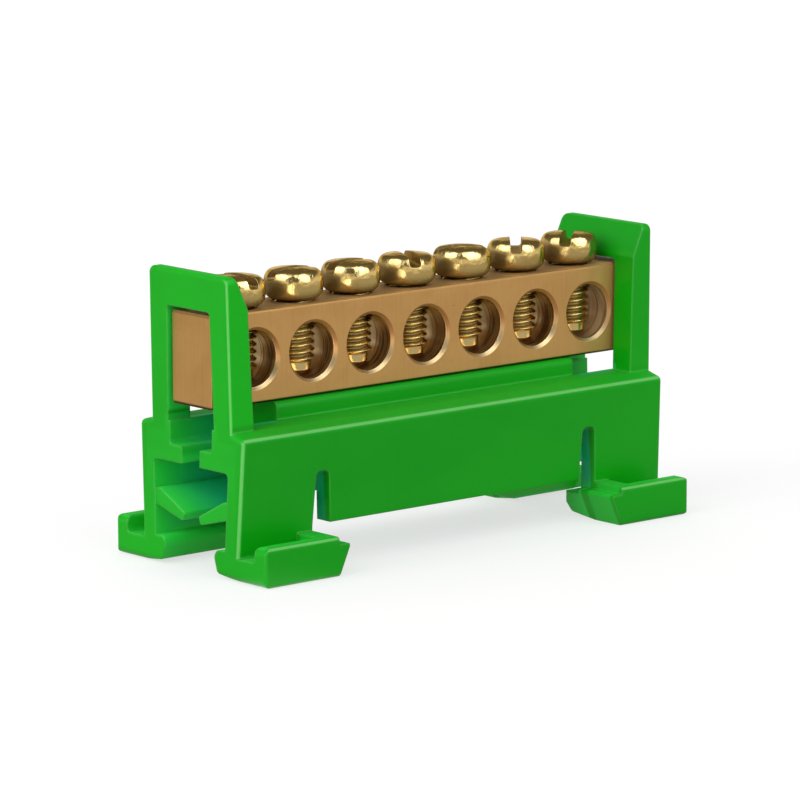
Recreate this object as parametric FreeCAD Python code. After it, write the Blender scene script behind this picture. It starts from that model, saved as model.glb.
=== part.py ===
"""Earth terminal bar: a brass bar with clamp screws in a moulded holder that clips across a mounting rail.

Millimetres. The feet stand on z = 0, the bar runs along X, the rail runs along Y, +Z is up.
"""
import FreeCAD, Part
import math
import os

Vector = FreeCAD.Vector

# Brass bar
bar_width = 6.0
bar_height = 9.0
bar_edge_radius = 0.3
terminal_count = 7
terminal_pitch = 7.15
wire_hole_diameter = 5.5
wire_hole_mouth = 6.1
wire_hole_height = 4.37

# Clamp screws
thread_diameter = 4.0
thread_clearance = 0.08
point_length = 0.7
point_diameter = 3.2
point_clearance = 0.06
head_diameter = 5.85
head_height = 2.85
head_crown_height = 1.0
head_crown_diameter = 3.0
head_clearance = 0.22
head_end_play = 0.37
slot_width = 1.2
slot_depth = 1.1
slot_angles = (92.0, -2.0, 4.0, 68.0, -28.0, 50.0, 40.0)

# Mounting rail that the feet grip
rail_width = 35.0
rail_lip_thickness = 1.0
rail_play = 0.75
rail_lip_play = 0.25
hook_grip = 0.5

# Holder: base
bar_end_inset = 0.25
base_width = 16.0
ledge_height = 14.1
ledge_fall = 0.5
wall_lean = 0.65
end_lean = 0.35
wall_thickness = 2.25
wall_thinning = 0.3
web_underside = 10.2
rail_seat_height = 4.4
base_edge_radius = 0.5

# Holder: block and pockets under the bar
bar_seat_height = 15.88
pocket_length = 7.9
block_width = 6.5
block_edge_radius = 0.7
pocket_floor_height = 11.85
web_slot_width = 2.8

# Holder: end frames round the ends of the bar
frame_width = 12.3
frame_top_width = 12.0
frame_height = 28.9
frame_lean = 0.28
frame_foot_thickness = 2.75
frame_neck_thickness = 2.25
frame_neck_height = 25.75
frame_crest_thickness = 1.08
frame_rim_radius = 0.35
frame_corner_radius = 0.7
window_side_play = 0.6
window_top_side_play = 0.3
window_top_play = 0.45
window_corner_radius = 0.4

# Holder: legs, with the slots that let them flex
leg_foot_height = 2.3
leg_slot_width = 1.6
leg_slot_top = 9.6
leg_slot_flare = 0.3
leg_slot_corner_radius = 0.6

# Holder: feet
foot_reach = 11.55
foot_nub_reach = 3.5
foot_plate_height = 2.75
foot_relief = 0.45
foot_relief_start = 7.6
foot_lip_height = 3.85
foot_lip_thickness = 1.7
foot_edge_radius = 0.4
trough_length = 6.9
hook_tip_height = 0.35
hook_corner_radius = 1.8
foot_corner_radius = 0.8
foot_upright_radius = 0.5

# Holder: pads that press on the rail, at one end
pad_depth = 1.0
pad_length = 8.0
pad_ramp_length = 3.5
pad_chamfer = 0.7

# Holder: sprung tongues between the legs
tongue_length = 9.5
tongue_gap = 2.1
tongue_root_height = 7.3
tongue_root_thickness = 1.55
tongue_shelf = 0.55
tongue_tip_height = 5.4
tongue_tip_thickness = 0.8
tongue_tip_radius = 0.3

# How far a cutter passes the faces that it cuts, and a buried root enters its wall
overrun = 1.0

# Worked out from the sizes above
screw_to_frame = head_diameter / 2 + head_end_play
end_margin = screw_to_frame + frame_neck_thickness - bar_end_inset
bar_length = (terminal_count - 1) * terminal_pitch + 2 * end_margin
holder_length = bar_length + 2 * bar_end_inset
block_length = holder_length - 2 * pocket_length
bar_top = bar_seat_height + bar_height
wire_axis_height = bar_seat_height + wire_hole_height
point_drop = math.sqrt(wire_hole_diameter ** 2 - point_diameter ** 2) / 2
point_height = wire_axis_height - point_drop + point_clearance
half_length = holder_length / 2
half_base = base_width / 2
hook_top = rail_seat_height - rail_lip_thickness - rail_lip_play
hook_reach = rail_width / 2 - hook_grip
leg_inner_end = rail_width / 2 + rail_play
beam_end = leg_inner_end - leg_slot_width - 2 * leg_slot_flare
foot_outer_wall = half_base - wall_lean
foot_inner_wall = half_base - wall_lean - wall_thickness + wall_thinning
leg_middle = (foot_outer_wall + foot_inner_wall) / 2


def rounded_face(corners, plane, offset):
    """Makes a flat face from (u, v, radius) corners on the plane yz, xz or xy at the given offset."""
    places = {
        "yz": lambda u, v: Vector(offset, u, v),
        "xz": lambda u, v: Vector(u, offset, v),
        "xy": lambda u, v: Vector(u, v, offset),
    }
    place = places[plane]
    edges = []
    count = len(corners)
    starts = []
    for index, (u, v, radius) in enumerate(corners):
        here = place(u, v)
        before = place(*corners[index - 1][:2]) - here
        after = place(*corners[(index + 1) % count][:2]) - here
        if radius == 0:
            starts.append((here, None, here))
            continue
        half_angle = before.getAngle(after) / 2
        run = radius / math.tan(half_angle)
        middle_reach = radius / math.sin(half_angle) - radius
        bisector = (before.normalize() + after.normalize()).normalize()
        starts.append((here + before * run, here + bisector * middle_reach, here + after * run))
    for index, (first, middle, last) in enumerate(starts):
        if middle is not None:
            edges.append(Part.Arc(first, middle, last).toShape())
        following = starts[(index + 1) % count][0]
        if last.distanceToPoint(following) > 1e-6:
            edges.append(Part.LineSegment(last, following).toShape())
    return Part.Face(Part.Wire(edges))


def along_x(corners, start, end):
    """Extrudes a yz outline from x = start to x = end."""
    return rounded_face(corners, "yz", start).extrude(Vector(end - start, 0, 0))


def along_y(corners, start, end):
    """Extrudes an xz outline from y = start to y = end."""
    return rounded_face(corners, "xz", start).extrude(Vector(0, end - start, 0))


def along_z(corners, start, end):
    """Extrudes an xy outline from z = start to z = end."""
    return rounded_face(corners, "xy", start).extrude(Vector(0, 0, end - start))


def mirrored(shape, normal):
    """Mirrors a shape in the plane through the origin with this normal."""
    return shape.mirror(Vector(0, 0, 0), normal)


def both_sides(shape, normal):
    """Gives a shape and its mirror image."""
    return [shape, mirrored(shape, normal)]


def joined(shapes):
    """Fuses shapes into one and merges the faces that run on."""
    return shapes[0].fuse(shapes[1:]).removeSplitter()


ACROSS_X = Vector(1, 0, 0)
ACROSS_Y = Vector(0, 1, 0)


def end_reach(height):
    """How far along X the leaning end faces of the base and feet stand at a height."""
    return half_length + end_lean * (1 - height / ledge_height)


def base_body():
    """The saddle: sloping ledges, leaning walls and the hollow under the web."""
    foot = leg_foot_height
    ledge_edge = ledge_height - ledge_fall
    outside = [
        (-foot_outer_wall, foot, 0),
        (-half_base, ledge_edge, base_edge_radius),
        (-frame_width / 2, ledge_height, 0),
        (frame_width / 2, ledge_height, 0),
        (half_base, ledge_edge, base_edge_radius),
        (foot_outer_wall, foot, 0),
    ]
    hollow_top = half_base - wall_thickness
    hollow = [
        (-foot_inner_wall, foot, 0),
        (-hollow_top, web_underside, base_edge_radius),
        (hollow_top, web_underside, base_edge_radius),
        (foot_inner_wall, foot, 0),
    ]
    ends = [
        (-end_reach(foot), foot, 0),
        (-half_length, ledge_height, 0),
        (half_length, ledge_height, 0),
        (end_reach(foot), foot, 0),
    ]
    length = half_length + overrun
    body = along_x(outside, -length, length).common(along_y(ends, -base_width, base_width))
    corners = [edge for edge in body.Edges if is_outer_wall_corner(edge)]
    body = body.makeFillet(base_edge_radius, corners)
    return body.cut(along_x(hollow, -length, length))


def is_outer_wall_corner(edge):
    """Says whether an edge is where an end face meets a leaning wall."""
    first, last = edge.Vertexes[0].Point, edge.Vertexes[-1].Point
    return abs(first.z - last.z) > ledge_height / 2


def leg_clearance():
    """The space below the beam and in the two flexing slots, as one outline across the holder."""
    right = [
        (beam_end, rail_seat_height, 0),
        (beam_end + leg_slot_flare, leg_slot_top, leg_slot_corner_radius),
        (leg_inner_end - leg_slot_flare, leg_slot_top, leg_slot_corner_radius),
        (leg_inner_end, rail_seat_height, 0),
        (leg_inner_end, -overrun, 0),
    ]
    left = [(-x, z, radius) for x, z, radius in reversed(right)]
    return along_y(left + right, -base_width, base_width)


def rail_pad():
    """One pad below the front wall that takes up the play on the rail's lip."""
    bottom = rail_seat_height - pad_depth
    top = rail_seat_height + pad_depth
    side = [
        (beam_end - pad_length - pad_ramp_length, rail_seat_height, 0),
        (beam_end - pad_length, bottom, 0),
        (beam_end, bottom, 0),
        (beam_end, top, 0),
        (beam_end - pad_length - pad_ramp_length, top, 0),
    ]
    rise = (rail_seat_height - leg_foot_height) / (ledge_height - ledge_fall - leg_foot_height)
    outer = foot_outer_wall + wall_lean * rise
    section = [
        (-outer, top, 0),
        (-outer, rail_seat_height, 0),
        (-outer + pad_chamfer, bottom, 0),
        (-foot_inner_wall - wall_thinning, bottom, 0),
        (-foot_inner_wall - wall_thinning, top, 0),
    ]
    return along_y(side, -base_width, 0).common(along_x(section, 0, half_length))


def foot():
    """The front right foot: a plate with a nub, an upturned lip, a trough and the hook under the rail."""
    lip_inside = foot_reach - foot_lip_thickness
    lip_middle = foot_reach - foot_lip_thickness / 2
    section = [
        (-foot_reach, 0, foot_edge_radius),
        (-foot_reach, foot_lip_height, foot_edge_radius),
        (-lip_inside, foot_lip_height, foot_edge_radius),
        (-lip_inside, leg_foot_height, foot_edge_radius),
        (-leg_middle, leg_foot_height, 0),
        (-leg_middle, foot_plate_height, 0),
        (-foot_nub_reach, foot_plate_height, foot_corner_radius),
        (-foot_nub_reach - foot_corner_radius, foot_relief, foot_edge_radius),
        (-foot_relief_start, 0, 0),
    ]
    block = [
        (-lip_middle, leg_foot_height, 0),
        (-lip_middle, foot_lip_height, 0),
        (-leg_middle, foot_lip_height, 0),
        (-leg_middle, leg_foot_height, 0),
    ]
    end = end_reach(0)
    side = [
        (end, 0, foot_corner_radius),
        (leg_inner_end, 0, 0),
        (hook_reach, hook_top - hook_tip_height, 0),
        (hook_reach, hook_top, hook_tip_height / 2),
        (leg_inner_end, hook_top, 0),
        (leg_inner_end, foot_lip_height, 0),
        (end_reach(foot_lip_height), foot_lip_height, foot_corner_radius),
    ]
    plan = [
        (end, -foot_reach, foot_upright_radius),
        (end, -foot_nub_reach, 0),
        (hook_reach, -foot_nub_reach, hook_corner_radius),
        (hook_reach, -foot_reach, 0),
    ]
    solid = along_x(section, 0, end).fuse(along_x(block, 0, half_length - trough_length))
    return solid.common(along_y(side, -foot_reach, 0)).common(along_z(plan, 0, foot_lip_height))


def tongue():
    """The front right tongue, a blade that slopes down from the leg towards the middle."""
    tip = tongue_gap / 2
    root = foot_inner_wall + wall_thinning
    section = [
        (-root, tongue_root_height, 0),
        (-foot_inner_wall + tongue_shelf, tongue_root_height, 0),
        (-tip, tongue_tip_height, tongue_tip_radius),
        (-tip - tongue_tip_radius, tongue_tip_height - tongue_tip_thickness, tongue_tip_radius),
        (-root, tongue_root_height - tongue_root_thickness, 0),
    ]
    return along_x(section, half_length - tongue_length, half_length)


def frame_reach(height):
    """How far along X the leaning outer face of a frame stands at a height."""
    return half_length + frame_lean * (height - ledge_height) / (frame_height - ledge_height)


def end_frame():
    """The frame at the right end: two posts and a crossbar, thinned and chamfered towards the screws."""
    low = pocket_floor_height
    side = [
        (frame_reach(low), low, 0),
        (half_length - frame_foot_thickness, low, 0),
        (half_length - frame_foot_thickness, ledge_height, 0),
        (half_length - frame_neck_thickness, frame_neck_height, 0),
        (frame_reach(frame_height) - frame_crest_thickness, frame_height, 0),
        (frame_reach(frame_height), frame_height, 0),
    ]
    front = [
        (-frame_width / 2, low, 0),
        (-frame_width / 2, ledge_height, 0),
        (-frame_top_width / 2, frame_height, frame_corner_radius),
        (frame_top_width / 2, frame_height, frame_corner_radius),
        (frame_width / 2, ledge_height, 0),
        (frame_width / 2, low, 0),
    ]
    frame = along_y(side, -base_width, base_width).common(along_x(front, 0, half_length + overrun))
    rim = [edge for edge in frame.Edges if is_outer_rim(edge)]
    frame = frame.makeFillet(frame_rim_radius, rim)
    low_half = bar_width / 2 + window_side_play
    top_half = bar_width / 2 + window_top_side_play
    ceiling = bar_top + window_top_play
    window = [
        (-low_half, ledge_height - overrun, 0),
        (-top_half, ceiling, window_corner_radius),
        (top_half, ceiling, window_corner_radius),
        (low_half, ledge_height - overrun, 0),
    ]
    return frame.cut(along_x(window, 0, half_length + overrun))


def is_outer_rim(edge):
    """Says whether an edge of a frame runs round its outer face, above the ledge."""
    points = [vertex.Point for vertex in edge.Vertexes]
    outside = all(abs(point.x - frame_reach(point.z)) < 1e-6 for point in points)
    return outside and max(point.z for point in points) > (ledge_height + frame_height) / 2


def bar_block():
    """The block in the middle of the base that carries the bar."""
    half = block_width / 2
    section = [
        (-half, web_underside + overrun, 0),
        (-half, bar_seat_height, block_edge_radius),
        (half, bar_seat_height, block_edge_radius),
        (half, web_underside + overrun, 0),
    ]
    return along_x(section, -block_length / 2, block_length / 2)


def end_pocket():
    """The pocket below the right end of the bar, with the slot in its floor."""
    half = block_width / 2
    slot_half = web_slot_width / 2
    section = [
        (-half, ledge_height + overrun, 0),
        (-half, pocket_floor_height, window_corner_radius),
        (half, pocket_floor_height, window_corner_radius),
        (half, ledge_height + overrun, 0),
    ]
    slot = [
        (-slot_half, web_underside - overrun, 0),
        (-slot_half, pocket_floor_height + overrun, 0),
        (slot_half, pocket_floor_height + overrun, 0),
        (slot_half, web_underside - overrun, 0),
    ]
    start, end = block_length / 2, half_length + overrun
    return along_x(section, start, end).fuse(along_x(slot, start, end))


def holder():
    """The moulded holder, one piece."""
    body = base_body()
    frames = both_sides(end_frame(), ACROSS_X)
    tongues = [copy for side in both_sides(tongue(), ACROSS_Y) for copy in both_sides(side, ACROSS_X)]
    pads = both_sides(rail_pad(), ACROSS_Y)
    feet = [copy for side in both_sides(foot(), ACROSS_Y) for copy in both_sides(side, ACROSS_X)]
    body = body.cut(leg_clearance())
    body = joined([body, bar_block()] + pads + tongues + feet)
    body = joined([body] + frames)
    for pocket in both_sides(end_pocket(), ACROSS_X):
        body = body.cut(pocket)
    return body.removeSplitter()


def terminal_positions():
    """The x of each terminal, from left to right."""
    first = -(terminal_count - 1) * terminal_pitch / 2
    return [first + index * terminal_pitch for index in range(terminal_count)]


def turned(profile, x, z):
    """Revolves an (r, z) outline with rounded corners round the vertical axis through x, with its foot at z."""
    face = rounded_face([(x + r, z + height, radius) for r, height, radius in profile], "xz", 0)
    return face.revolve(Vector(x, 0, 0), Vector(0, 0, 1), 360)


def brass_bar():
    """The bar: chamfered wire holes across it and tapped holes down into them."""
    half = bar_width / 2
    edge = bar_edge_radius
    section = [
        (-half, bar_seat_height, edge),
        (-half, bar_top, edge),
        (half, bar_top, edge),
        (half, bar_seat_height, edge),
    ]
    bar = along_x(section, -bar_length / 2, bar_length / 2)
    mouth_depth = (wire_hole_mouth - wire_hole_diameter) / 2
    hole_radius, mouth_radius = wire_hole_diameter / 2, wire_hole_mouth / 2
    tapped_radius = thread_diameter / 2 + thread_clearance
    for x in terminal_positions():
        centre = Vector(x, -half, wire_axis_height)
        hole = Part.makeCylinder(hole_radius, bar_width, centre, ACROSS_Y)
        front_mouth = Part.makeCone(mouth_radius, hole_radius, mouth_depth, centre, ACROSS_Y)
        back_mouth = mirrored(front_mouth, ACROSS_Y)
        tapped = Part.makeCylinder(tapped_radius, bar_height, Vector(x, 0, wire_axis_height))
        for cutter in (hole, front_mouth, back_mouth, tapped):
            bar = bar.cut(cutter)
    return bar


def clamp_screw(x, slot_angle):
    """One clamp screw, run down until the rim of its point nearly meets the floor of the wire hole."""
    head_foot = bar_top + head_clearance - point_height
    shank = thread_diameter / 2
    profile = [
        (0, 0, 0),
        (point_diameter / 2, 0, 0),
        (point_diameter / 2, point_length, 0),
        (shank, point_length, 0),
        (shank, head_foot, 0),
        (head_diameter / 2, head_foot, 0),
        (head_diameter / 2, head_foot + head_height - head_crown_height, 0),
        (head_crown_diameter / 2, head_foot + head_height, 0),
        (0, head_foot + head_height, 0),
    ]
    screw = turned(profile, x, point_height)
    slot_floor = point_height + head_foot + head_height - slot_depth
    slot = Part.makeBox(head_diameter * 2, slot_width, slot_depth * 2)
    slot.translate(Vector(x - head_diameter, -slot_width / 2, slot_floor))
    slot.rotate(Vector(x, 0, 0), Vector(0, 0, 1), slot_angle)
    return screw.cut(slot)


def write(name, shape):
    """Writes one node."""
    shape.exportStep(os.path.join("parts", name + ".step"))


def main():
    os.makedirs("parts", exist_ok=True)
    write("holder", holder())
    write("brass_bar", brass_bar())
    for number, (x, angle) in enumerate(zip(terminal_positions(), slot_angles), start=1):
        write("clamp_screw_%d" % number, clamp_screw(x, angle))


main()
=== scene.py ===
"""Looks of the earth terminal bar: moulded holder, drawn brass bar, turned clamp screws and the studio."""

import logging
import math
from dataclasses import dataclass
from enum import Enum
from typing import Any

import bmesh
import bpy
from mathutils import Matrix, Vector
from mathutils.geometry import interpolate_bezier


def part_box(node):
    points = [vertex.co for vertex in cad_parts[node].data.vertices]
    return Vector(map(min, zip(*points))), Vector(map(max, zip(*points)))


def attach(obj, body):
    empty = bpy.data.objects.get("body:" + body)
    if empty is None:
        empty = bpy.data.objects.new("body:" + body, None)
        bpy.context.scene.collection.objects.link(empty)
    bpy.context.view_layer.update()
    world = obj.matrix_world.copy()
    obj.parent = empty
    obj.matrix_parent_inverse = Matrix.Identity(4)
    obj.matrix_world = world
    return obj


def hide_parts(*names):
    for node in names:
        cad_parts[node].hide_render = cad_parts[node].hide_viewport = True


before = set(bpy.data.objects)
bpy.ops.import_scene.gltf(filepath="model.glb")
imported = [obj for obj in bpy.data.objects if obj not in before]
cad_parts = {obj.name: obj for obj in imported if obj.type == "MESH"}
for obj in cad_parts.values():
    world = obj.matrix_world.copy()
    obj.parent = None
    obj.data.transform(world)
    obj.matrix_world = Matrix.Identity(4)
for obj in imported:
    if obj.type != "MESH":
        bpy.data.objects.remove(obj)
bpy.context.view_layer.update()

MM = 0.001
TERMINAL_PITCH = 7.15 * MM
HEAD_FOOT = 25.1 * MM
WELD = 0.002 * MM
SLICE_REACH = 0.0005 * MM
LOG = logging.getLogger("terminal_bar")

Colour = tuple[float, float, float, float]
Span = tuple[float, float]


def mm(start: float, stop: float) -> Span:
    """Gives a span of millimetres in metres."""
    return start * MM, stop * MM


class Slot(Enum):
    """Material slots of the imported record."""

    MOULDING = "moulding"
    BAR = "bar"
    SCREW = "screw"


class Wire:
    """A shader output that takes part in plain arithmetic."""

    def __init__(self, sheet: "NodeSheet", socket: Any) -> None:
        """Wraps a socket.

        Args:
            sheet: The node sheet that the socket belongs to.
            socket: The output socket.
        """
        self.sheet = sheet
        self.socket = socket

    def _with(self, operation: str, first: Any, second: Any) -> "Wire":
        """Adds a Math node.

        Args:
            operation: The Math node's operation.
            first: A wire or a number.
            second: A wire or a number.

        Returns:
            The node's result.
        """
        return self.sheet.add("ShaderNodeMath", {"operation": operation}, {0: first, 1: second})

    def __add__(self, other: Any) -> "Wire":
        """Sum."""
        return self._with("ADD", self, other)

    def __radd__(self, other: Any) -> "Wire":
        """Sum with a number on the left."""
        return self._with("ADD", other, self)

    def __sub__(self, other: Any) -> "Wire":
        """Difference."""
        return self._with("SUBTRACT", self, other)

    def __rsub__(self, other: Any) -> "Wire":
        """Difference from a number."""
        return self._with("SUBTRACT", other, self)

    def __mul__(self, other: Any) -> "Wire":
        """Product."""
        return self._with("MULTIPLY", self, other)

    def __rmul__(self, other: Any) -> "Wire":
        """Product with a number on the left."""
        return self._with("MULTIPLY", other, self)

    def __neg__(self) -> "Wire":
        """The value with its sign turned."""
        return self._with("MULTIPLY", self, -1.0)

    def __pow__(self, other: float) -> "Wire":
        """Power."""
        return self._with("POWER", self, other)

    def size(self) -> "Wire":
        """The value without its sign."""
        return self.sheet.add("ShaderNodeMath", {"operation": "ABSOLUTE"}, {0: self})

    def larger(self, other: Any) -> "Wire":
        """The larger of this and another value."""
        return self._with("MAXIMUM", self, other)

    def reach(self, other: "Wire") -> "Wire":
        """The root of the sum of the squares of this and another value."""
        return (self * self + other * other) ** 0.5

    def rise(self, start: float, stop: float) -> "Wire":
        """Rises smoothly from 0 to 1.

        Args:
            start: Where the rise starts.
            stop: Where it ends.

        Returns:
            A mask from 0 to 1.
        """
        settings = {"interpolation_type": "SMOOTHSTEP", "clamp": True}
        inputs = {"Value": self, "From Min": start, "From Max": stop}
        return self.sheet.add("ShaderNodeMapRange", settings, inputs)

    def fall(self, start: float, stop: float) -> "Wire":
        """Falls smoothly from 1 to 0, as the reverse of a rise."""
        return 1.0 - self.rise(start, stop)

    def folded(self, period: float) -> "Wire":
        """Folds a coordinate so that it runs from minus to plus half a period about each multiple.

        Args:
            period: The period.

        Returns:
            The folded coordinate.
        """
        limits = {0: self, 1: period / 2, 2: -period / 2}
        return self.sheet.add("ShaderNodeMath", {"operation": "WRAP"}, limits)


@dataclass(frozen=True)
class Spot:
    """Where a shaded point lies on its piece, in metres, and which way its surface faces, from -1 to 1."""

    x: Wire
    y: Wire
    z: Wire
    facing_x: Wire
    facing_y: Wire
    facing_z: Wire


class NodeSheet:
    """A node tree that is filled node by node."""

    def __init__(self, tree: bpy.types.NodeTree) -> None:
        """Empties a tree.

        Args:
            tree: The node tree of a material or world.
        """
        self.tree = tree
        self.tree.nodes.clear()

    def add(self, kind: str, settings: dict[str, Any], inputs: dict[Any, Any], output: int | str = 0) -> Wire:
        """Adds a node.

        Args:
            kind: The node's type.
            settings: Properties set before the inputs.
            inputs: Values or wires by socket name or number.
            output: The output to hand on.

        Returns:
            The chosen output, or an empty wire from a node that has none.
        """
        node = self.tree.nodes.new(kind)
        for key, value in settings.items():
            setattr(node, key, value)
        for key, value in inputs.items():
            if isinstance(value, Wire):
                self.tree.links.new(value.socket, node.inputs[key])
            else:
                node.inputs[key].default_value = value
        return Wire(self, node.outputs[output] if len(node.outputs) else None)

    def _split(self, vector: Wire) -> tuple[Wire, Wire, Wire]:
        """Gives the x, y and z of a vector."""
        node = self.add("ShaderNodeSeparateXYZ", {}, {"Vector": vector}).socket.node
        return Wire(self, node.outputs[0]), Wire(self, node.outputs[1]), Wire(self, node.outputs[2])

    def axes(self) -> tuple[Wire, Wire, Wire]:
        """Gives the object's coordinates x, y and z, in metres."""
        return self._split(self.add("ShaderNodeTexCoord", {}, {}, "Object"))

    def facing(self) -> tuple[Wire, Wire, Wire]:
        """Gives the x, y and z of the surface's normal."""
        return self._split(self.add("ShaderNodeNewGeometry", {}, {}, "Normal"))

    def grain(self, scale: float, detail: float,
              stretch: tuple[float, float, float] = (1.0, 1.0, 1.0)) -> Wire:
        """Gives a soft noise.

        Args:
            scale: Cells per metre.
            detail: Octaves.
            stretch: Factor for each axis, before the scale.

        Returns:
            A value about 0.5.
        """
        here = self.add("ShaderNodeTexCoord", {}, {}, "Object")
        place = self.add("ShaderNodeMapping", {}, {"Vector": here, "Scale": stretch})
        inputs = {"Vector": place, "Scale": scale, "Detail": detail, "Roughness": 0.55}
        return self.add("ShaderNodeTexNoise", {}, inputs, "Fac")

    def blend(self, mask: Any, first: Any, second: Any) -> Wire:
        """Mixes two colours.

        Args:
            mask: 0 gives the first, 1 the second.
            first: A colour or a wire.
            second: A colour or a wire.

        Returns:
            The mixed colour.
        """
        inputs = {0: mask, 6: first, 7: second}
        return self.add("ShaderNodeMix", {"data_type": "RGBA", "clamp_factor": True}, inputs, 2)

    def layered(self, ground: Any, layers: tuple[tuple[Wire, Any], ...]) -> Wire:
        """Lays colours over a ground, one after the other.

        Args:
            ground: A colour or a wire.
            layers: A mask and a colour or wire for each layer.

        Returns:
            The colour on top.
        """
        for mask, colour in layers:
            ground = self.blend(mask, ground, colour)
        return ground

    def rounded(self, radius: float) -> Wire:
        """Gives a normal that rounds sharp edges.

        Args:
            radius: Radius of the rounding, in metres.

        Returns:
            The normal.
        """
        return self.add("ShaderNodeBevel", {"samples": 6}, {"Radius": radius})

    def edge(self, rounded: Wire) -> Wire:
        """Finds the edges that a rounded normal turns away from the face.

        Args:
            rounded: The rounded normal.

        Returns:
            A mask, 1 along a sharp edge.
        """
        flat = self.add("ShaderNodeNewGeometry", {}, {}, "Normal")
        match = self.add("ShaderNodeVectorMath", {"operation": "DOT_PRODUCT"}, {0: rounded, 1: flat}, "Value")
        return (1.0 - match).rise(0.01, 0.25)

    def bump(self, height: Wire, depth: float, strength: float, normal: Wire) -> Wire:
        """Gives a bumped normal.

        Args:
            height: Height from 0 to 1.
            depth: Height of 1, in metres.
            strength: Share of the bump that is used.
            normal: The normal under it.

        Returns:
            The bumped normal.
        """
        inputs = {"Height": height, "Distance": depth, "Strength": strength, "Normal": normal}
        return self.add("ShaderNodeBump", {}, inputs)

    def seen(self) -> tuple[Wire, Wire]:
        """Tells rays that see the surroundings.

        Returns:
            1 for a ray straight from the camera, and 1 for one that comes by a mirror or through glass.
        """
        camera = self.add("ShaderNodeLightPath", {}, {}, "Is Camera Ray")
        glossy = self.add("ShaderNodeLightPath", {}, {}, "Is Glossy Ray")
        through = self.add("ShaderNodeLightPath", {}, {}, "Is Transmission Ray")
        return camera, glossy.larger(through)


def new_material(name: str) -> tuple[bpy.types.Material, NodeSheet]:
    """Makes an empty material.

    Args:
        name: Its name.

    Returns:
        The material and its node sheet.
    """
    material = bpy.data.materials.new(name)
    material.use_nodes = True
    return material, NodeSheet(material.node_tree)


def principled(sheet: NodeSheet, inputs: dict[str, Any]) -> None:
    """Closes a material with a Principled shader.

    Args:
        sheet: The material's sheet.
        inputs: The shader's values and wires.
    """
    shader = sheet.add("ShaderNodeBsdfPrincipled", {}, inputs)
    sheet.add("ShaderNodeOutputMaterial", {}, {"Surface": shader})


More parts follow.
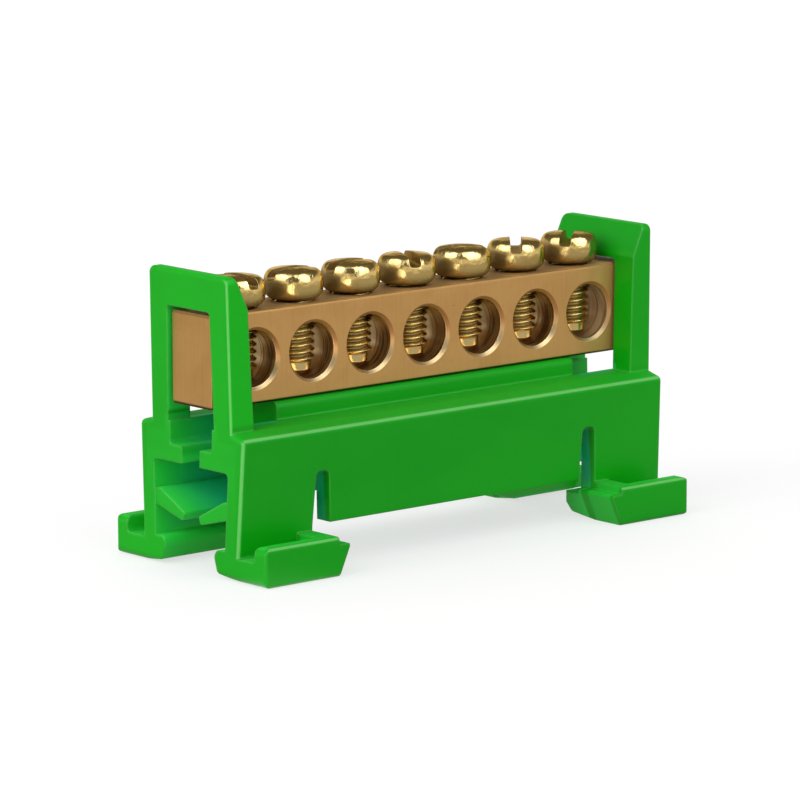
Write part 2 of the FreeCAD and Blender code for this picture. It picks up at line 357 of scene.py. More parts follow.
@dataclass(frozen=True)
class MouldedPlastic:
    """Satin green moulding: flow marks, a fine skin, scuffs, painted highlights on fillets and rims, painted
    light and shade, teal in the hollows.
    """

    body: Colour = (0.0015, 0.372, 0.0035, 1.0)
    pale: Colour = (0.0030, 0.422, 0.0045, 1.0)
    # Painted colours: light on the posts' fronts, shade on the far frame, light in the hollows and channels,
    # teal shade deeper in the hollows, and highlights on edges and rims.
    painted_post_light: Colour = (0.0040, 0.540, 0.0070, 1.0)
    shade: Colour = (0.0010, 0.200, 0.0020, 1.0)
    near: Colour = (0.0350, 0.760, 0.0700, 1.0)
    painted_teal_shade: Colour = (0.0110, 0.570, 0.2700, 1.0)
    edge: Colour = (0.2000, 0.660, 0.1700, 1.0)
    gloss: float = 0.32
    specular: float = 0.22
    skin_depth: float = 0.004 * MM
    edge_radius: float = 0.35 * MM

    # A span says where a mask starts to change and where it is complete.
    # These three read the surface's direction: square to an axis, on a fillet between two, and upwards.
    square_on: Span = (0.5, 0.8)
    on_fillet: Span = (0.28, 0.48)
    facing_up: Span = (0.75, 0.95)

    # The ledge's and the hooks' rims along X, the upright fillets of the walls, and how strongly a painted
    # highlight lightens each.
    ledge_reach: float = 8.0 * MM
    ledge_height: float = 14.1 * MM
    hook_reach: float = 11.55 * MM
    hook_height: float = 3.85 * MM
    rim_band: Span = mm(0.72, 0.80)
    wall_reach: Span = mm(8.3, 8.8)
    edge_highlight: float = 0.4
    upright_highlight: float = 0.62
    rim_highlight: float = 0.75

    # The limits of the hollows where light and teal shade are painted, along X, across and upwards, from the
    # middle of the holder and from its soles.
    end_face: Span = mm(26.1, 27.3)
    tunnel_side: Span = mm(6.6, 7.0)
    tunnel_top: Span = mm(12.9, 13.2)
    tunnel_mouth: Span = mm(20.3, 27.3)
    tunnel_foot: Span = mm(2.5, 4.5)
    web_top: Span = mm(10.6, 11.4)
    pocket_start: Span = mm(19.4, 19.8)
    pocket_side: Span = mm(3.9, 4.2)
    pocket_foot: Span = mm(10.6, 11.6)
    pocket_top: Span = mm(14.6, 14.9)
    window_frame: Span = mm(24.3, 24.4)
    window_side: Span = mm(4.5, 4.8)
    window_foot: Span = mm(14.8, 15.3)

    # Painted light on the fronts of the frames' posts and in the channels of the hooks, and painted shade on
    # the inner face of the far frame.
    post_foot: Span = mm(14.4, 14.9)
    post_side: Span = mm(4.8, 5.0)
    far_post: Span = mm(0.0, 19.4)
    far_face: Span = mm(24.0, 24.3)
    far_face_height: Span = mm(21.0, 26.0)
    channel_start: Span = mm(7.6, 8.0)
    channel_stop: Span = mm(10.9, 11.2)
    channel_height: Span = mm(2.5, 6.5)

    def make(self) -> bpy.types.Material:
        """Builds the material.

        Returns:
            The material.
        """
        material, sheet = new_material("moulded_green")
        spot = Spot(*sheet.axes(), *sheet.facing())
        rounded = sheet.rounded(self.edge_radius)
        on_end = spot.facing_x.size().rise(*self.square_on) * spot.x.size().rise(*self.end_face)
        # The hollows get painted light, green near the ends, and painted teal shade between them.
        painted_hollow, painted_hollow_colour = self._painted_hollow(sheet, spot, on_end)
        # Pale edges, fillets and rims are painted highlights, weaker in the hollows.
        wear_and_painted_highlight = self._painted_highlights(sheet, spot, rounded) * (1.0 - 0.6 * painted_hollow)
        skin = sheet.grain(2600.0, 2.0)
        scuff = sheet.grain(420.0, 4.0).rise(0.56, 0.74)
        uneven = 0.06 * (skin - 0.5) + 0.08 * scuff
        principled(sheet, {
            "Base Color": sheet.layered(self._outside(sheet, spot, on_end), (
                (painted_hollow, painted_hollow_colour),
                (wear_and_painted_highlight, self.edge),
            )),
            "Roughness": self.gloss + uneven + 0.30 * spot.facing_z.rise(*self.facing_up),
            "Specular IOR Level": self.specular,
            "Normal": sheet.bump(skin, self.skin_depth, 0.12, rounded),
        })
        return material

    def _outside(self, sheet: NodeSheet, spot: Spot, on_end: Wire) -> Wire:
        """Colours the outside with flow marks, painted light on the posts' fronts and in the hooks' channels,
        and painted shade on the far frame.

        Args:
            sheet: The material's sheet.
            spot: The shaded point.
            on_end: A mask of the walls' end faces.

        Returns:
            The colour.
        """
        flow = sheet.grain(70.0, 3.0, (0.45, 1.0, 1.0)).rise(0.3, 0.7)
        # Painted light on the posts' fronts and in the hooks' channels, painted shade on the far frame's
        # inner face.
        painted_post_light = spot.facing_y.size().rise(*self.square_on) * spot.z.rise(*self.post_foot)
        painted_post_light = painted_post_light * spot.y.size().rise(*self.post_side) * (1.0 - 0.8 * spot.x.rise(*self.far_post))
        far_face = (-spot.facing_x).rise(*self.square_on) * spot.x.rise(*self.far_face)
        far_face = far_face * spot.z.rise(*self.far_face_height)
        channel = spot.y.size().rise(*self.channel_start) * spot.y.size().fall(*self.channel_stop)
        channel = channel * spot.z.fall(*self.channel_height) * (1.0 - on_end)
        return sheet.layered(self.body, (
            (flow, self.pale),
            (0.8 * painted_post_light, self.painted_post_light),
            (0.5 * far_face, self.shade),
            (0.45 * channel, self.near),
        ))

    def _painted_hollow(self, sheet: NodeSheet, spot: Spot, on_end: Wire) -> tuple[Wire, Wire]:
        """Finds where light and teal shade are painted in the object's own shade: tunnel, pockets under the
        bar, window sides.

        Args:
            sheet: The material's sheet.
            spot: The shaded point.
            on_end: A mask of the walls' end faces.

        Returns:
            A mask of these surfaces, and the colour painted on them: light green near the ends and teal shade
            between them.
        """
        tunnel = spot.y.size().fall(*self.tunnel_side) * spot.z.fall(*self.tunnel_top)
        tunnel = tunnel * (1.0 - 0.5 * spot.z.rise(*self.web_top)) * (1.0 - on_end)
        pocket = spot.x.size().rise(*self.pocket_start) * spot.y.size().fall(*self.pocket_side)
        pocket = pocket * spot.z.rise(*self.pocket_foot) * spot.z.fall(*self.pocket_top) * (1.0 - on_end)
        reveal = spot.facing_y.size().rise(*self.square_on) * spot.z.rise(*self.window_foot)
        reveal = reveal * spot.x.size().rise(*self.window_frame) * spot.y.size().fall(*self.window_side)
        outer = spot.x.size().rise(*self.tunnel_mouth).larger(spot.z.fall(*self.tunnel_foot)).larger(reveal)
        return tunnel.larger(reveal).larger(0.6 * pocket), sheet.blend(outer, self.painted_teal_shade, self.near)

    def _painted_highlights(self, sheet: NodeSheet, spot: Spot, rounded: Wire) -> Wire:
        """Finds the edges, upright fillets and rims where a highlight is painted.

        Args:
            sheet: The material's sheet.
            spot: The shaded point.
            rounded: The normal that rounds sharp edges.

        Returns:
            A mask.
        """
        upright = (spot.facing_x * spot.facing_y).size().rise(*self.on_fillet)
        upright = upright * spot.y.size().fall(*self.wall_reach)
        level = (spot.facing_y * spot.facing_z).size().rise(*self.on_fillet)
        ledge = self._near_rim(spot, self.ledge_reach, self.ledge_height)
        lip = self._near_rim(spot, self.hook_reach, self.hook_height)
        wear_and_painted_highlight = (self.edge_highlight * sheet.edge(rounded)).larger(self.upright_highlight * upright)
        return wear_and_painted_highlight.larger(self.rim_highlight * level * ledge.larger(lip))

    def _near_rim(self, spot: Spot, reach: float, height: float) -> Wire:
        """Finds what lies near a rim that runs along X.

        Args:
            spot: The shaded point.
            reach: The rim's distance from the middle plane.
            height: The rim's height.

        Returns:
            A mask.
        """
        apart = (spot.y.size() - reach).size().larger((spot.z - height).size())
        return apart.fall(*self.rim_band)


@dataclass(frozen=True)
class DrawnBrass:
    """Satin brass of the bar: fine upright lines and pits, drilled walls painted lighter, and painted shade
    deeper in the holes, on the edges, top and far end.
    """

    clean: Colour = (0.680, 0.375, 0.127, 1.0)
    dull: Colour = (0.564, 0.294, 0.091, 1.0)
    # Painted colours: a darker top face, lighter drilled walls, the shadow along the foot and a brown shade;
    # tarnish serves both real stains and painted shade.
    top: Colour = (0.540, 0.330, 0.125, 1.0)
    cut: Colour = (0.540, 0.370, 0.165, 1.0)
    drilled: Colour = (0.640, 0.460, 0.250, 1.0)
    shade: Colour = (0.045, 0.030, 0.018, 1.0)
    painted_brown_shade: Colour = (0.450, 0.145, 0.042, 1.0)
    tarnish_and_shade: Colour = (0.200, 0.095, 0.022, 1.0)
    reflected: Colour = (0.95, 0.80, 0.52, 1.0)
    gloss: float = 0.43
    mark_depth: float = 0.01 * MM
    edge_radius: float = 0.06 * MM
    half_width: float = 3.0 * MM

    # The row of holes: how far a wall and a mouth reach from the axis, and how the light turns round a mouth.
    hole_height: float = 20.25 * MM
    row_end: Span = (3.45 * TERMINAL_PITCH, 3.50 * TERMINAL_PITCH)
    hole_wall: Span = mm(2.76, 2.80)
    mouth_rim: Span = mm(3.04, 3.08)
    mouth_turn: Span = mm(-1.6, 1.2)
    hole_depth: Span = mm(0.3, 2.2)

    # Heights near the foot and the top, and places near the far end, where shade is painted.
    foot_edge: Span = mm(16.00, 16.20)
    top_edge: Span = mm(24.56, 24.68)
    top_face: Span = mm(24.83, 24.87)
    far_stretch: Span = mm(20.0, 25.0)
    far_end: Span = mm(22.5, 26.7)
    far_corner: Span = mm(25.4, 27.0)

    def make(self) -> bpy.types.Material:
        """Builds the material.

        Returns:
            The material.
        """
        material, sheet = new_material("drawn_brass")
        x, y, z = sheet.axes()
        above_axis = z - self.hole_height
        from_axis = x.folded(TERMINAL_PITCH).reach(above_axis)
        in_row = x.size().fall(*self.row_end)
        in_hole = in_row * from_axis.fall(*self.hole_wall)
        mouth = in_row * from_axis.fall(*self.mouth_rim) * (1.0 - in_hole)
        low_mouth = mouth * above_axis.fall(*self.mouth_turn)
        painted_shade_mouth = mouth * above_axis.rise(*self.mouth_turn)
        in_depth = in_hole * (self.half_width - y.size()).rise(*self.hole_depth)
        on_top = z.rise(*self.top_face)
        lines = sheet.grain(4200.0, 3.0, (1.0, 1.0, 0.04))
        rings = sheet.grain(3800.0, 2.0, (0.05, 1.0, 0.05))
        cloud = sheet.grain(260.0, 4.0)
        pits = sheet.grain(2400.0, 2.0).rise(0.70, 0.78)
        # Stains: pits and tool rings in the holes, with painted shade at the far corner and deeper in the
        # holes.
        stain = (0.3 * pits).larger(0.6 * x.rise(*self.far_corner))
        stain = stain.larger(0.5 * in_depth * cloud.rise(0.36, 0.64))
        stain = stain.larger(0.75 * in_hole * rings.rise(0.48, 0.62))
        colour = sheet.layered(self.clean, (
            (0.55 * cloud.rise(0.35, 0.70) + 0.25 * lines.rise(0.35, 0.75), self.dull),
            # Painted shade along the top edge and on the top face.
            (0.5 * z.rise(*self.top_edge), self.tarnish_and_shade),
            (on_top, self.top),
            (low_mouth, self.cut),
            # The drilled walls are painted lighter: painted light inside the holes.
            (in_hole, self.drilled),
            # Painted brown shade at the far end and on the upper half of each mouth.
            ((0.75 * x.rise(*self.far_end)).larger(0.8 * painted_shade_mouth), self.painted_brown_shade),
            (stain, self.tarnish_and_shade),
            # Painted shadow along the foot, where the bar sits on the holder.
            (0.95 * z.fall(*self.foot_edge), self.shade),
        ))
        uneven = 0.10 * (lines - 0.5) + 0.10 * (cloud - 0.5) + 0.2 * pits
        height = 0.8 * lines * (1.0 - in_hole) + 1.6 * rings * in_hole - 0.5 * pits
        principled(sheet, {
            "Base Color": colour,
            # Metallic falls where the brown shade is painted.
            "Metallic": 1.0 - 0.85 * x.rise(*self.far_stretch).larger(painted_shade_mouth),
            "Roughness": self.gloss + uneven - 0.05 * low_mouth - 0.12 * in_hole + 0.15 * on_top,
            "Specular Tint": self.reflected,
            "Normal": sheet.bump(height, self.mark_depth, 0.45, sheet.rounded(self.edge_radius)),
        })
        return material


@dataclass(frozen=True)
class TurnedBrass:
    """Bright turned brass of the screws: tool rings, dents, handling marks, a shank painted lighter, and
    painted shade in the hollows.
    """

    name: str = "turned_brass"
    bright: Colour = (0.700, 0.485, 0.168, 1.0)
    wear_and_painted_highlight: Colour = (0.500, 0.310, 0.075, 1.0)
    # The shank's colour is painted lighter than the head's, as light inside the holes.
    thread: Colour = (0.800, 0.590, 0.240, 1.0)
    # This dark brown is painted shade.
    painted_shade: Colour = (0.110, 0.065, 0.014, 1.0)
    reflected: Colour = (0.90, 0.72, 0.40, 1.0)
    gloss: float = 0.15
    mark_depth: float = 0.30 * MM
    edge_radius: float = 0.06 * MM

    # Where the head and the thread begin, and the band between the thread's root and crest.
    head_start: Span = (HEAD_FOOT - 0.05 * MM, HEAD_FOOT)
    thread_start: Span = mm(18.8, 19.0)
    thread_root: Span = mm(1.64, 1.94)

    # Painted shade: up the head's underside, over its flanks towards the neighbours, and beside the far
    # frame.
    under_head: Span = (HEAD_FOOT, HEAD_FOOT + 1.2 * MM)
    flank: Span = mm(1.9, 2.7)
    flank_top: Span = (HEAD_FOOT + 1.6 * MM, HEAD_FOOT + 2.6 * MM)
    by_far_frame: Span = mm(23.1, 23.8)

    def make(self) -> bpy.types.Material:
        """Builds the material.

        Returns:
            The material.
        """
        material, sheet = new_material(self.name)
        x, y, z = sheet.axes()
        aside = x.folded(TERMINAL_PITCH)
        head = z.rise(*self.head_start)
        # Painted shade in the thread's roots, under the head, over the flanks towards the neighbours and
        # beside the far frame.
        root = (1.0 - head) * z.rise(*self.thread_start) * aside.reach(y).fall(*self.thread_root)
        flank = (aside.size().rise(*self.flank) * z.fall(*self.flank_top)).larger(x.rise(*self.by_far_frame))
        painted_shade_mask = head * (0.9 * z.fall(*self.under_head)).larger(0.85 * flank)
        rings = sheet.grain(3400.0, 2.0, (0.02, 0.02, 1.0))
        marks = sheet.grain(1300.0, 4.0)
        dents = sheet.grain(620.0, 2.0)
        stain = sheet.grain(430.0, 3.0).rise(0.50, 0.72)
        uneven = 0.12 * (marks - 0.5) + 0.05 * (rings - 0.5) + 0.10 * stain
        height = 0.05 * rings + 0.32 * marks + dents * head
        principled(sheet, {
            "Base Color": sheet.layered(self.bright, (
                (0.8 * stain, self.wear_and_painted_highlight),
                # The shank painted lighter.
                (1.0 - head, self.thread),
                (painted_shade_mask.larger(0.65 * root), self.painted_shade),
            )),
            # Metallic falls under the painted shade.
            "Metallic": 1.0 - 0.7 * painted_shade_mask,
            "Roughness": self.gloss + uneven + 0.2 * root.larger(painted_shade_mask),
            "Specular Tint": self.reflected,
            "Normal": sheet.bump(height, self.mark_depth, 0.5, sheet.rounded(self.edge_radius)),
        })
        return material


# The slots' brass: milled and rougher, and painted darker as shade inside each slot.
MILLED_AND_SHADED_BRASS = TurnedBrass(
    name="milled_and_shaded_brass", bright=(0.42, 0.27, 0.085, 1.0), wear_and_painted_highlight=(0.24, 0.14, 0.035, 1.0), gloss=0.42)


def finish_for(slot: Slot) -> bpy.types.Material:
    """Makes the material that belongs to a slot.

    Args:
        slot: The slot.

    Returns:
        The material.
    """
    finishes = {Slot.MOULDING: MouldedPlastic(), Slot.BAR: DrawnBrass(), Slot.SCREW: TurnedBrass()}
    return finishes[slot].make()


def dress(piece: bpy.types.Object, material: bpy.types.Material) -> None:
    """Puts one material on the whole of a piece.

    Args:
        piece: The piece.
        material: Its finish.
    """
    piece.data.materials.clear()
    piece.data.materials.append(material)
    for face in piece.data.polygons:
        face.material_index = 0


def mesh_from(name: str, bm: bmesh.types.BMesh) -> bpy.types.Mesh:
    """Turns a bmesh into a mesh.

    Args:
        name: The mesh's name.
        bm: The bmesh, which is freed.

    Returns:
        The mesh.
    """
    mesh = bpy.data.meshes.new(name)
    bm.to_mesh(mesh)
    bm.free()
    return mesh


def piece_from(name: str, bm: bmesh.types.BMesh, crease: float = 30.0) -> bpy.types.Object:
    """Turns a bmesh into an object at the origin, smooth but for its sharp edges.

    Args:
        name: The object's name.
        bm: The mesh, which is freed.
        crease: Angle in degrees past which an edge is sharp.

    Returns:
        The object.
    """
    for face in bm.faces:
        face.smooth = True
    for edge in bm.edges:
        edge.smooth = edge.is_manifold and edge.calc_face_angle(0.0) < math.radians(crease)
    piece = bpy.data.objects.new(name, mesh_from(name, bm))
    bpy.context.scene.collection.objects.link(piece)
    return piece


def sheet_piece(name: str, width: float, height: float, place: Matrix) -> bpy.types.Object:
    """Makes a flat sheet of one face.

    Args:
        name: The object's name.
        width: Its width.
        height: Its height.
        place: Where its middle lies and how it is turned.

    Returns:
        The object, at the origin.
    """
    bm = bmesh.new()
    bmesh.ops.create_grid(bm, x_segments=1, y_segments=1, size=0.5)
    bmesh.ops.scale(bm, vec=(width, height, 1.0), verts=bm.verts)
    bmesh.ops.transform(bm, matrix=place, verts=bm.verts)
    return piece_from(name, bm)


def carved(body: bmesh.types.BMesh, cutter: bmesh.types.BMesh) -> bmesh.types.BMesh:
    """Takes one closed mesh out of another.

    Args:
        body: The mesh to carve, which is freed.
        cutter: The mesh to take out of it, which is freed.

    Returns:
        The carved mesh.
    """
    blank = piece_from("blank", body)
    tool = piece_from("tool", cutter)
    cut = blank.modifiers.new("cut", "BOOLEAN")
    cut.operation = "DIFFERENCE"
    cut.solver = "EXACT"
    cut.object = tool
    mesh = bpy.data.meshes.new_from_object(blank.evaluated_get(bpy.context.evaluated_depsgraph_get()))
    bm = bmesh.new()
    bm.from_mesh(mesh)
    for data in (blank.data, tool.data, mesh):
        bpy.data.meshes.remove(data)
    return bm


def half_section(outline: list[tuple[float, float]]) -> bmesh.types.BMesh:
    """Joins the points of a half section by edges.

    Args:
        outline: Radius and height of each point.

    Returns:
        The open chain, beside the Z axis.
    """
    bm = bmesh.new()
    verts = [bm.verts.new((radius, 0.0, height)) for radius, height in outline]
    for first, second in zip(verts, verts[1:]):
        bm.edges.new((first, second))
    return bm


def spin_and_weld(bm: bmesh.types.BMesh, steps: int, turns: int = 1, climb: float = 0.0) -> None:
    """Spins a half section about the Z axis and welds its doubles.

    Args:
        bm: The half section.
        steps: Steps of one turn.
        turns: Number of turns.
        climb: Rise of one step, for a helix.
    """
    bmesh.ops.spin(bm, geom=bm.verts[:] + bm.edges[:], cent=(0, 0, 0), axis=(0, 0, 1), dvec=(0, 0, climb),
                   angle=turns * math.tau, space=Matrix.Identity(4), steps=turns * steps,
                   use_merge=(climb == 0.0))
    bmesh.ops.remove_doubles(bm, verts=bm.verts, dist=WELD)


def slice_level(bm: bmesh.types.BMesh, height: float, facing: float = 1.0, trim: bool = False) -> None:
    """Cuts a mesh along a level plane.

    Args:
        bm: The mesh.
        height: The plane's height.
        facing: 1 for a plane that faces up, -1 for one that faces down.
        trim: Whether what lies in front of the plane is deleted.
    """
    bmesh.ops.bisect_plane(bm, geom=bm.verts[:] + bm.edges[:] + bm.faces[:], plane_co=(0, 0, height),
                           plane_no=(0, 0, facing), clear_outer=trim, dist=SLICE_REACH)


@dataclass
class PackedPiece:
    """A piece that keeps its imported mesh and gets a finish."""

    node: str
    slot: Slot

    def build(self) -> bpy.types.Object:
        """Dresses the piece.

        Returns:
            The piece.
        """
        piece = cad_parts[self.node]
        dress(piece, finish_for(self.slot))
        return piece


@dataclass
class ClampScrews:
    """The row of slotted clamp screws, each with a domed head, a rolled thread and a plain point."""

    slot_angles: tuple[float, ...] = (92.0, -2.0, 4.0, 68.0, -28.0, 50.0, 40.0)
    crease: float = 32.0

    # The shank. The thread's flank and crest are given as shares of one pitch, from the root upwards.
    thread_diameter: float = 4.0 * MM
    thread_pitch: float = 0.7 * MM
    thread_steps: int = 64
    crest_round: float = 0.05 * MM
    flank_foot: float = 0.10
    flank_top: float = 0.41
    crest_start: float = 0.46
    point_diameter: float = 3.2 * MM
    point_length: float = 0.7 * MM
    point_chamfer: float = 0.14 * MM
    shank_in_head: float = 0.2 * MM

    # The head, from the heel over the belly and the shoulder to the dome. A pull is a curve handle's length.
    head_diameter: float = 5.85 * MM
    head_height: float = 3.0 * MM
    head_steps: int = 96
    crown_proud: float = 0.15 * MM
    heel_diameter: float = 4.3 * MM
    heel_pull: float = 0.4 * MM
    belly_height: float = 1.25 * MM
    belly_pull: float = 0.75 * MM
    shoulder_height: float = 2.3 * MM
    dome_diameter: float = 4.3 * MM
    dome_drop: float = 0.19 * MM
    dome_pull: float = 0.4 * MM
    dome_shares: tuple[float, ...] = (0.85, 0.7, 0.55, 0.4, 0.25, 0.12, 0.0)
    curve_points: int = 12

    # The driver slot, milled from the crown down.
    slot_width: float = 1.2 * MM
    slot_depth: float = 1.2 * MM
    slot_corner: float = 0.3 * MM
    slot_corner_steps: int = 4

    def build(self) -> list[bpy.types.Object]:
        """Builds the screws.

        Returns:
            The screws, from left to right.
        """
        patterns = self._patterns()
        finishes = (finish_for(Slot.SCREW), MILLED_AND_SHADED_BRASS.make())
        screws = []
        for number, angle in enumerate(self.slot_angles, start=1):
            node = f"clamp_screw_{number}"
            low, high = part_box(node)
            bm = bmesh.new()
            for pattern in patterns:
                bm.from_mesh(pattern)
            middle = Matrix.Translation(((low.x + high.x) / 2, 0.0, 0.0))
            turn = Matrix.Rotation(math.radians(angle), 4, "Z")
            bmesh.ops.transform(bm, matrix=middle @ turn, verts=bm.verts)
            piece = piece_from(f"screw_{number}", bm, self.crease)
            for finish in finishes:
                piece.data.materials.append(finish)
            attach(piece, piece.name)
            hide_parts(node)
            screws.append(piece)
        for pattern in patterns:
            bpy.data.meshes.remove(pattern)
        return screws

    def _patterns(self) -> tuple[bpy.types.Mesh, bpy.types.Mesh]:
        """Makes what all screws share.

        Returns:
            The shank and the slotted head, on the Z axis. The slot's faces have the second material.
        """
        low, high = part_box("clamp_screw_1")
        top = high.z + self.crown_proud
        head_foot = top - self.head_height
        shank = self._shank(low.z, head_foot + self.shank_in_head)
        head = half_section(self._head_outline(head_foot))
        spin_and_weld(head, self.head_steps)
        bmesh.ops.recalc_face_normals(head, faces=head.faces)
        head = carved(head, self._slot_cutter(top))
        for face in head.faces:
            inside = abs(face.calc_center_median().y) < self.slot_width / 2 + WELD
            above = min(vert.co.z for vert in face.verts) > top - self.slot_depth - WELD
            face.material_index = int(inside and above)
        return mesh_from("shank", shank), mesh_from("head", head)

    def _shank(self, foot: float, top: float) -> bmesh.types.BMesh:
        """Sweeps one pitch of the thread up the shank and trims it to the plain point.

        Args:
            foot: Height of the point's end.
            top: Height at which the shank ends, inside the head.

        Returns:
            The closed shank, on the Z axis.
        """
        crest = self.thread_diameter / 2
        root = self.point_diameter / 2
        rising = [(root, 0.0), (root, self.flank_foot), (crest - self.crest_round, self.flank_top),
                  (crest, self.crest_start)]
        profile = rising + [(radius, 1.0 - share) for radius, share in reversed(rising)]
        bm = half_section([(radius, share * self.thread_pitch) for radius, share in profile])
        turns = math.ceil((top - foot) / self.thread_pitch) + 2
        spin_and_weld(bm, self.thread_steps, turns, self.thread_pitch / self.thread_steps)
        bmesh.ops.translate(bm, verts=bm.verts, vec=(0, 0, foot - 1.5 * self.thread_pitch))
        slice_level(bm, foot + self.point_chamfer)
        for vert in bm.verts:
            above = vert.co.z - foot
            limit = root + max(above - self.point_length, 0.0) - max(self.point_chamfer - above, 0.0)
            reach = vert.co.xy.length
            if reach > limit:
                vert.co.xy *= limit / reach
        slice_level(bm, foot, facing=-1.0, trim=True)
        slice_level(bm, top, facing=1.0, trim=True)
        bmesh.ops.holes_fill(bm, edges=[edge for edge in bm.edges if edge.is_boundary], sides=0)
        bmesh.ops.recalc_face_normals(bm, faces=bm.faces)
        return bm

    def _head_outline(self, foot: float) -> list[tuple[float, float]]:
        """Draws the head from its underside over the belly and shoulder to the top of the dome.

        Args:
            foot: Height of its underside.

        Returns:
            Radius and height of each point.
        """
        side = self.head_diameter / 2
        heel = self.heel_diameter / 2
        rim = self.dome_diameter / 2
        belly = self.belly_height
        crown = self.head_height - self.dome_drop
        bow = (rim ** 2 + self.dome_drop ** 2) / (2 * self.dome_drop)
        lean = self.dome_pull / bow
        last_pull = (rim + lean * (bow - self.dome_drop), crown - lean * rim)
        outline = [(0.0, 0.0)]
        for corners in (
            ((heel, 0.0), (heel + self.heel_pull, 0.0), (side, belly - self.belly_pull), (side, belly)),
            ((side, belly), (side, self.shoulder_height), last_pull, (rim, crown)),
        ):
            knots = [Vector((radius, height, 0.0)) for radius, height in corners]
            outline += [(point.x, point.y) for point in interpolate_bezier(*knots, self.curve_points)]
        for share in self.dome_shares:
            drop = bow - math.sqrt(bow ** 2 - (rim * share) ** 2)
            outline.append((rim * share, self.head_height - drop))
        return [(radius, foot + height) for radius, height in outline]

    def _slot_cutter(self, top: float) -> bmesh.types.BMesh:
        """Makes the cutter of the driver slot along X, rounded along its lower edges.

        Args:
            top: Height of the crown.

        Returns:
            The cutter.
        """
        bm = bmesh.new()
        bmesh.ops.create_cube(bm, size=1.0)
        size = (2 * self.head_diameter, self.slot_width, 2 * self.slot_depth)
        bmesh.ops.scale(bm, vec=size, verts=bm.verts)
        lower = []
        for edge in bm.edges:
            first, second = (vert.co for vert in edge.verts)
            if max(first.z, second.z) < 0 and abs(first.x - second.x) > self.slot_width:
                lower.append(edge)
        bmesh.ops.bevel(bm, geom=lower, offset=self.slot_corner, segments=self.slot_corner_steps, profile=0.5,
                        affect="EDGES", material=-1)
        bmesh.ops.translate(bm, verts=bm.verts, vec=(0, 0, top))
        return bm


def toward(azimuth: float, elevation: float) -> Vector:
    """Gives a direction away from the object.

    Args:
        azimuth: In degrees, from the front (-Y) towards the left (-X).
        elevation: In degrees.

    Returns:
        The unit vector.
    """
    turn = math.radians(azimuth)
    tilt = math.radians(elevation)
    return Vector((-math.sin(turn) * math.cos(tilt), -math.cos(turn) * math.cos(tilt), math.sin(tilt)))


@dataclass(frozen=True)
class Glow:
    """A lamp or card: where it hangs in degrees, its sides in metres and its radiance, where white is 1."""

    name: str
    azimuth: float
    elevation: float
    width: float
    height: float
    radiance: float


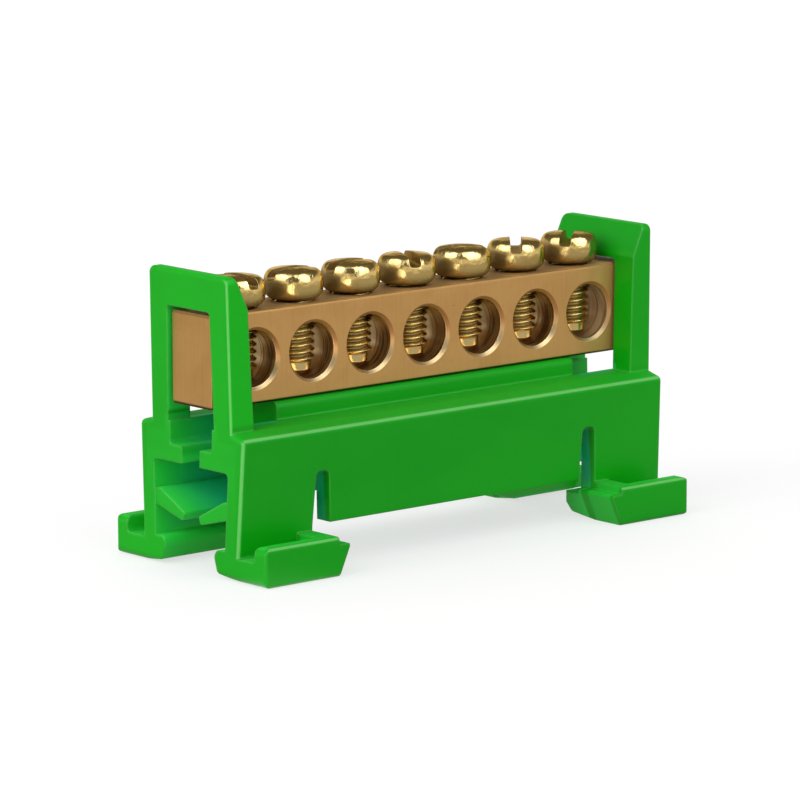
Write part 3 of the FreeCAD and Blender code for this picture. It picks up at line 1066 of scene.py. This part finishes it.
@dataclass
class Studio:
    """Floor, lamps, surroundings and the camera."""

    lamps: tuple[Glow, ...] = (
        Glow("left_lamp", 90.0, 28.0, 0.9, 0.9, 2.0),
        Glow("front_lamp", -10.0, 35.0, 0.9, 0.9, 0.9),
        Glow("back_lamp", 222.0, 38.0, 0.9, 0.9, 1.2),
    )
    lamp_distance: float = 1.05

    # Cards are brightest in the middle and fade outwards.
    cards: tuple[Glow, ...] = (
        Glow("left_card", 96.0, 38.0, 1.0, 1.5, 4.4),
        Glow("front_card", -14.0, 42.0, 0.9, 1.35, 4.4),
    )
    card_distance: float = 0.95
    card_colour: Colour = (0.76, 0.85, 1.0, 1.0)
    card_middle: float = 1.25
    card_fade: float = 1.05
    card_fades: Span = (0.15, 0.72)

    # Ambient light leans to the left; mirrors see a white backdrop and a dim ceiling.
    ambient: float = 0.60
    ambient_lean: float = 0.6
    backdrop: float = 0.95
    ceiling_drop: float = 0.80
    ceiling: Span = (0.14, 0.40)

    # The floor's grey in soft light, its grey and glow to the camera, and its glow and wedge in mirrors.
    floor_side: float = 12.0
    floor_grey: float = 0.50
    camera_grey: float = 0.36
    camera_glow: float = 0.66
    floor_mirrored: float = 0.5
    wedge_azimuth: float = 62.0
    wedge_spread: float = 0.36
    wedge_edge: Span = (0.0, 0.02)
    wedge_radiance: float = 3.2

    # The photograph's camera.
    lens: float = 225.0
    sensor: float = 36.0
    clip: Span = (0.02, 20.0)
    distance: float = 0.491098
    azimuth: float = 40.302
    elevation: float = 10.134
    roll: float = -0.221
    target: tuple[float, float, float] = (0.0, 0.0, 0.02025)
    aside: float = 0.000668
    lift: float = -0.0068

    def build(self) -> None:
        """Builds all of it."""
        self._floor()
        self._world()
        for lamp in self.lamps:
            self._lamp(lamp)
        for card in self.cards:
            self._card(card)
        self._camera()

    def _floor(self) -> None:
        """Lays the pale floor, white to the camera but for the object's shadow, with the mirrors' wedge."""
        floor = sheet_piece("floor", self.floor_side, self.floor_side, Matrix.Identity(4))
        material, sheet = new_material("pale_floor")
        camera, mirror = sheet.seen()
        matt = self._surface(sheet, "ShaderNodeBsdfDiffuse", self.floor_grey)
        shaded = self._surface(sheet, "ShaderNodeBsdfDiffuse", self.camera_grey)
        glow = self._surface(sheet, "ShaderNodeEmission", self.camera_glow)
        white = sheet.add("ShaderNodeAddShader", {}, {0: shaded, 1: glow})
        x, y, _ = sheet.axes()
        way = toward(self.wedge_azimuth, 0.0)
        ahead = way.x * x + way.y * y
        beside = way.x * y - way.y * x
        wedge = (self.wedge_spread * ahead - beside.size()).rise(*self.wedge_edge)
        strength = self.floor_mirrored + self.wedge_radiance * wedge
        pale = sheet.add("ShaderNodeEmission", {}, {"Strength": strength})
        surface = sheet.add("ShaderNodeMixShader", {}, {0: mirror, 1: matt, 2: pale})
        surface = sheet.add("ShaderNodeMixShader", {}, {0: camera, 1: surface, 2: white})
        sheet.add("ShaderNodeOutputMaterial", {}, {"Surface": surface})
        dress(floor, material)

    def _surface(self, sheet: NodeSheet, kind: str, level: float) -> Wire:
        """Adds a grey shader.

        Args:
            sheet: The material's sheet.
            kind: The shader's type.
            level: Its grey level.

        Returns:
            The shader.
        """
        return sheet.add(kind, {}, {"Color": (level, level, level, 1.0)})

    def _world(self) -> None:
        """Lights softly from all round, white to the camera."""
        world = bpy.data.worlds.new("studio")
        bpy.context.scene.world = world
        world.use_nodes = True
        sheet = NodeSheet(world.node_tree)
        camera, mirror = sheet.seen()
        direction = sheet.add("ShaderNodeTexCoord", {}, {}, "Generated")
        height = sheet.add("ShaderNodeSeparateXYZ", {}, {"Vector": direction}, "Z")
        across = sheet.add("ShaderNodeSeparateXYZ", {}, {"Vector": direction}, "X")
        mirrored = self.backdrop - self.ceiling_drop * height.rise(*self.ceiling)
        soft = self.ambient * (1.0 - self.ambient_lean * across)
        strength = camera + (1.0 - camera) * (mirror * mirrored + (1.0 - mirror) * soft)
        back = sheet.add("ShaderNodeBackground", {}, {"Color": (1.0, 1.0, 1.0, 1.0), "Strength": strength})
        sheet.add("ShaderNodeOutputWorld", {}, {"Surface": back})

    def _lamp(self, glow: Glow) -> None:
        """Hangs a square lamp that lights the object softly and isn't mirrored.

        Args:
            glow: The lamp.
        """
        place = self.lamp_distance * toward(glow.azimuth, glow.elevation)
        data = bpy.data.lights.new(glow.name, "AREA")
        data.size = glow.width
        data.energy = glow.radiance * math.pi * glow.width * glow.height
        lamp = bpy.data.objects.new(glow.name, data)
        bpy.context.scene.collection.objects.link(lamp)
        lamp.location = place
        lamp.rotation_euler = (Vector(self.target) - place).to_track_quat("-Z", "Y").to_euler()
        lamp.visible_glossy = False

    def _card(self, glow: Glow) -> None:
        """Hangs a bright card that only glossy surfaces mirror.

        Args:
            glow: The card.
        """
        place = self.card_distance * toward(glow.azimuth, glow.elevation)
        turn = (Vector(self.target) - place).to_track_quat("Z", "Y").to_matrix().to_4x4()
        card = sheet_piece(glow.name, glow.width, glow.height, Matrix.Translation(place) @ turn)
        material, sheet = new_material(glow.name)
        x, y, z = sheet.axes()
        off_centre = (x - place.x).reach(y - place.y).reach(z - place.z)
        strength = glow.radiance * (self.card_middle - self.card_fade * off_centre.rise(*self.card_fades))
        light = sheet.add("ShaderNodeEmission", {}, {"Color": self.card_colour, "Strength": strength})
        sheet.add("ShaderNodeOutputMaterial", {}, {"Surface": light})
        dress(card, material)
        card.visible_camera = False
        card.visible_diffuse = False
        card.visible_shadow = False

    def _camera(self) -> None:
        """Stands the camera where the photograph was taken from."""
        turn = math.radians(self.azimuth)
        roll = math.radians(self.roll)
        back = toward(self.azimuth, self.elevation)
        level = Vector((math.cos(turn), -math.sin(turn), 0.0))
        upright = back.cross(level)
        right = level * math.cos(roll) + upright * math.sin(roll)
        up = upright * math.cos(roll) - level * math.sin(roll)
        data = bpy.data.cameras.new("camera")
        data.lens = self.lens
        data.sensor_width = self.sensor
        data.clip_start, data.clip_end = self.clip
        camera = bpy.data.objects.new("camera", data)
        bpy.context.scene.collection.objects.link(camera)
        place = Vector(self.target) + self.distance * back - self.aside * right + self.lift * up
        rows = Matrix((right, up, back)).transposed().to_4x4()
        camera.matrix_world = Matrix.Translation(place) @ rows
        bpy.context.scene.camera = camera


def main() -> None:
    """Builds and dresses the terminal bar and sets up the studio."""
    logging.basicConfig(level=logging.INFO)
    bpy.context.scene.view_settings.view_transform = "Standard"
    pieces = [PackedPiece("holder", Slot.MOULDING).build(), PackedPiece("brass_bar", Slot.BAR).build()]
    pieces += ClampScrews().build()
    for piece in pieces:
        LOG.info("%s: %d faces", piece.name, len(piece.data.polygons))
    Studio().build()


if __name__ == "__main__":
    main()
